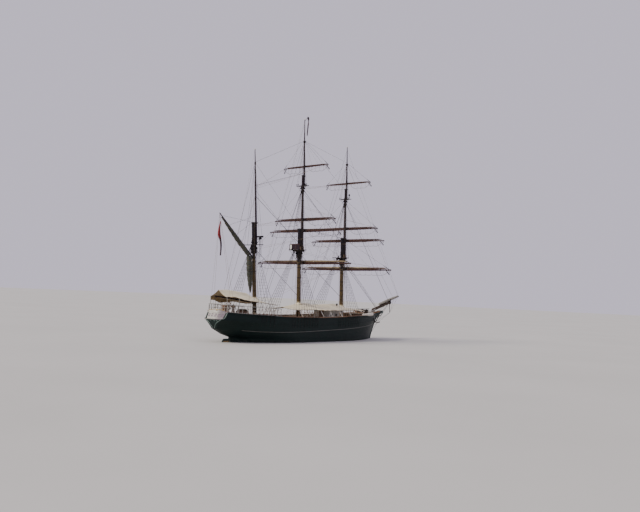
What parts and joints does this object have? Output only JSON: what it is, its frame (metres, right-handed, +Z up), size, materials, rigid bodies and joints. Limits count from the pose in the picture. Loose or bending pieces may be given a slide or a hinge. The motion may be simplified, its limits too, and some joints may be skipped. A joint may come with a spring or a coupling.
{
  "type": "three-masted barque at half size, sails furled",
  "caption": "Half-size sailing ship with furled square sails on swinging yards, a brailed spanker, awnings over her decks, rudder, wheel and propeller.",
  "frame": {"origin": "on the centreline at the waterline, close under the main mast", "axes": "+X forward to the bow, +Y to port, +Z up"},
  "size_m": [20.826, 9, 17.7844],
  "materials": {
    "hull_paint": "semi-gloss very dark green, with a thin white line",
    "keel_paint": "matt red-brown",
    "white_paint": "satin, weathered white",
    "roof_paint": "weathered planking",
    "teak": "oiled hardwood",
    "ironwork": "matt black paint",
    "bronze": "weathered bronze",
    "buff_paint": "buff paint, satin",
    "dark_spar": "varnished red-brown spar",
    "canvas": "cream canvas",
    "wire_rope": "tarred wire rope",
    "flag_cloth": "red bunting"
  },
  "bodies": {
    "ship": {"hull": "hull_paint", "keel": "keel_paint", "poop": "hull_paint", "forecastle": "hull_paint", "bulwark_port": "hull_paint", "bulwark_starboard": "hull_paint", "deckhouse": "white_paint", "deckhouse_roof": "roof_paint", "main_hatch": "teak", "windlass": "ironwork", "binnacle": "bronze", "wheel_box": "teak", "radar": "white_paint", "poop_rail_port": "white_paint", "poop_rail_starboard": "white_paint", "forecastle_rail_port": "white_paint", "forecastle_rail_starboard": "white_paint", "staysail": "canvas", "bowsprit": "buff_paint", "jibboom": "dark_spar", "headsail": "canvas", "bobstay": "wire_rope", "fore_lower_mast": "buff_paint", "main_lower_mast": "buff_paint", "mizzen_lower_mast": "buff_paint", "fore_topmast": "buff_paint", "main_topmast": "buff_paint", "mizzen_topmast": "dark_spar", "fore_topgallant_mast": "dark_spar", "main_topgallant_mast": "dark_spar", "fore_top": "teak", "main_top": "teak", "fore_crosstrees": "ironwork", "main_crosstrees": "ironwork", "mizzen_crosstrees": "ironwork", "poop_awning": "canvas", "main_awning": "canvas", "fore_awning": "canvas", "forestay": "wire_rope", "fore_topmast_stay": "wire_rope", "mainstay": "wire_rope", "main_topmast_stay": "wire_rope", "mizzen_stay": "wire_rope", "mizzen_topmast_stay": "wire_rope"},
    "rudder": {"rudder": "hull_paint"},
    "steering_wheel": {"steering_wheel": "teak"},
    "propeller": {"propeller": "bronze"},
    "house_door": {"deckhouse_door": "teak"},
    "boom": {"spanker_boom": "dark_spar"},
    "gaff": {"spanker_gaff": "dark_spar", "spanker": "canvas", "ensign": "flag_cloth"},
    "fore_course": {"fore_course_yard": "dark_spar"},
    "fore_lower_topsail": {"fore_lower_topsail_yard": "dark_spar"},
    "fore_upper_topsail": {"fore_upper_topsail_yard": "dark_spar"},
    "fore_topgallant": {"fore_topgallant_yard": "dark_spar"},
    "main_course": {"main_course_yard": "dark_spar"},
    "main_lower_topsail": {"main_lower_topsail_yard": "dark_spar"},
    "main_upper_topsail": {"main_upper_topsail_yard": "dark_spar"},
    "main_topgallant": {"main_topgallant_yard": "dark_spar"}
  },
  "joints": [
    {"name": "rudder_turn", "type": "hinge", "parent": "ship", "child": "rudder", "pos_m": [-6.7, 0, -0.5], "axis": [0, 0, 1], "range_deg": [-35, 35]},
    {"name": "wheel_turn", "type": "hinge", "parent": "ship", "child": "steering_wheel", "pos_m": [-6.875, 0, 2.33118], "axis": [1, 0, 0], "range_deg": [-525, 525]},
    {"name": "propeller_turn", "type": "hinge", "parent": "ship", "child": "propeller", "pos_m": [-6.025, 0, -0.95], "axis": [1, 0, 0], "continuous": true},
    {"name": "door_swing", "type": "hinge", "parent": "ship", "child": "house_door", "pos_m": [2.4696, 0.215, 1.5], "axis": [0, 0, -1], "range_deg": [0, 100]},
    {"name": "gaff_swing", "type": "hinge", "parent": "ship", "child": "gaff", "pos_m": [-5.01996, 0, 5.7147], "axis": [-0.0854, 0, 0.9963], "range_deg": [-35, 35]},
    {"name": "boom_swing", "type": "hinge", "parent": "ship", "child": "boom", "pos_m": [-4.75731, 0, 2.65094], "axis": [-0.0854, 0, 0.9963], "range_deg": [-7, 7]},
    {"name": "fore_course_brace", "type": "hinge", "parent": "ship", "child": "fore_course", "pos_m": [4.89731, 0, 5.36275], "axis": [-0.0419, 0, 0.9991], "range_deg": [-35, 35]},
    {"name": "fore_lower_topsail_brace", "type": "hinge", "parent": "ship", "child": "fore_lower_topsail", "pos_m": [5.06987, 0, 7.57384], "axis": [-0.0419, 0, 0.9991], "range_deg": [-35, 35]},
    {"name": "fore_upper_topsail_brace", "type": "hinge", "parent": "ship", "child": "fore_upper_topsail", "pos_m": [5.01049, 0, 8.51301], "axis": [-0.0419, 0, 0.9991], "range_deg": [-35, 35]},
    {"name": "fore_topgallant_brace", "type": "hinge", "parent": "ship", "child": "fore_topgallant", "pos_m": [4.96619, 0, 12.0774], "axis": [-0.0419, 0, 0.9991], "range_deg": [-35, 35]},
    {"name": "main_course_brace", "type": "hinge", "parent": "ship", "child": "main_course", "pos_m": [-0.06498, 0, 5.54461], "axis": [-0.0506, 0, 0.9987], "range_deg": [-35, 35]},
    {"name": "main_lower_topsail_brace", "type": "hinge", "parent": "ship", "child": "main_lower_topsail", "pos_m": [0.07691, 0, 7.88277], "axis": [-0.0506, 0, 0.9987], "range_deg": [-35, 35]},
    {"name": "main_upper_topsail_brace", "type": "hinge", "parent": "ship", "child": "main_upper_topsail", "pos_m": [0.01616, 0, 8.68675], "axis": [-0.0506, 0, 0.9987], "range_deg": [-35, 35]},
    {"name": "main_topgallant_brace", "type": "hinge", "parent": "ship", "child": "main_topgallant", "pos_m": [-0.07604, 0, 12.58207], "axis": [-0.0506, 0, 0.9987], "range_deg": [-35, 35]}
  ],
  "couplings": [
    {"joint": "wheel_turn", "follows": "rudder_turn", "ratio": 15},
    {"joint": "fore_lower_topsail_brace", "follows": "fore_course_brace", "ratio": 1},
    {"joint": "fore_upper_topsail_brace", "follows": "fore_course_brace", "ratio": 1},
    {"joint": "fore_topgallant_brace", "follows": "fore_course_brace", "ratio": 1},
    {"joint": "main_lower_topsail_brace", "follows": "main_course_brace", "ratio": 1},
    {"joint": "main_upper_topsail_brace", "follows": "main_course_brace", "ratio": 1},
    {"joint": "main_topgallant_brace", "follows": "main_course_brace", "ratio": 1}
  ]
}
